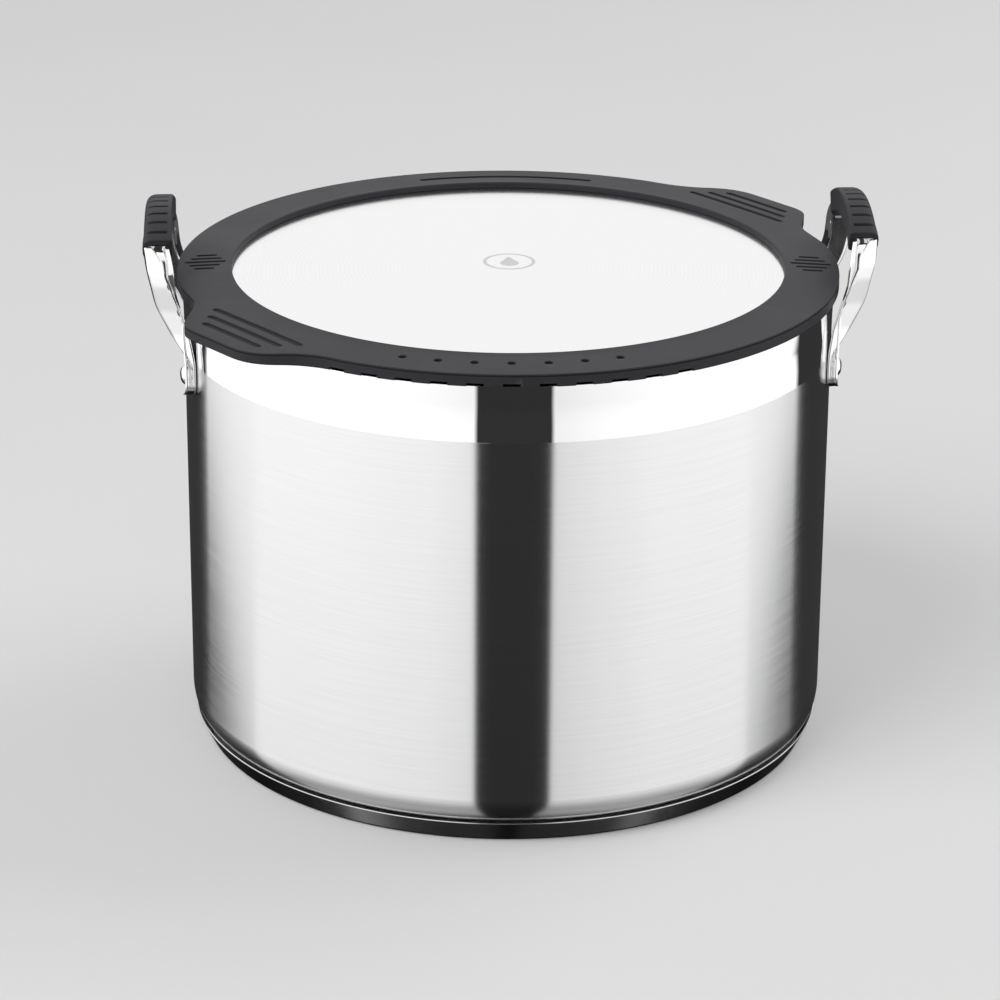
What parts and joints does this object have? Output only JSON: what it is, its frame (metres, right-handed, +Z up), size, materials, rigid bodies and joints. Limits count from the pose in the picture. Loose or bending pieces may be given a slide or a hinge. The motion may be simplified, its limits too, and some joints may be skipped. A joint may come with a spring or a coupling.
{
  "type": "water bath canner",
  "caption": "Tall stainless stockpot with riveted loop handles, a steel lid in a silicone straining rim, and a wire jar rack with folding bails inside.",
  "frame": {"origin": "on the pot's axis, at the underside of the base", "axes": "+Z up along the pot's axis; the two loop handles stand on the X axis; the straining holes of the lid face -Y"},
  "size_m": [0.3674, 0.336, 0.2824],
  "materials": {
    "brushed_steel": "satin, brushed around the pot, with a polished band below the rim",
    "lid_steel": "fine satin",
    "polished_steel": "polished stainless steel",
    "base_aluminium": "plain mill aluminium",
    "silicone": "matte charcoal silicone",
    "rack_wire": "bright drawn steel wire"
  },
  "bodies": {
    "pot": {"pot_shell": "brushed_steel", "base_core": "base_aluminium", "base_cap": "polished_steel", "right_handle": "polished_steel", "right_grip": "silicone", "left_handle": "polished_steel", "left_grip": "silicone", "right_front_rivet": "polished_steel", "right_rear_rivet": "polished_steel", "left_rear_rivet": "polished_steel", "left_front_rivet": "polished_steel"},
    "lid": {"lid_disc": "lid_steel", "lid_rim": "silicone"},
    "rack": {"rack_base_ring": "rack_wire", "rack_top_ring": "rack_wire", "rack_divider_ring": "rack_wire", "rack_upright_1": "rack_wire", "rack_upright_2": "rack_wire", "rack_upright_3": "rack_wire", "rack_upright_4": "rack_wire", "rack_upright_5": "rack_wire", "rack_upright_6": "rack_wire", "rack_spoke_1": "rack_wire", "rack_spoke_2": "rack_wire", "rack_spoke_3": "rack_wire", "rack_spoke_4": "rack_wire", "rack_spoke_5": "rack_wire", "rack_spoke_6": "rack_wire", "rack_floor_wire_1": "rack_wire", "rack_floor_wire_2": "rack_wire", "rack_floor_wire_3": "rack_wire", "rack_floor_wire_4": "rack_wire", "rack_floor_wire_5": "rack_wire", "rack_floor_wire_6": "rack_wire", "rack_floor_wire_7": "rack_wire", "rack_cross_wire_1": "rack_wire", "rack_cross_wire_2": "rack_wire"},
    "bail_right": {"rack_bail_right": "rack_wire"},
    "bail_left": {"rack_bail_left": "rack_wire"}
  },
  "joints": [
    {"name": "lid_lift", "type": "slide", "parent": "pot", "child": "lid", "axis": [0, 0, 1], "range_m": [0, 0.46]},
    {"name": "rack_lift", "type": "slide", "parent": "pot", "child": "rack", "axis": [0, 0, 1], "range_m": [0, 0.278]},
    {"name": "bail_right_swing", "type": "hinge", "parent": "rack", "child": "bail_right", "pos_m": [0.12862, 0, 0.098], "axis": [0, -1, 0], "range_deg": [0, 108]},
    {"name": "bail_left_swing", "type": "hinge", "parent": "rack", "child": "bail_left", "pos_m": [-0.12862, 0, 0.098], "axis": [0, 1, 0], "range_deg": [0, 108]}
  ],
  "couplings": [
    {"joint": "rack_lift", "follows": "lid_lift", "ratio": 0.6}
  ]
}
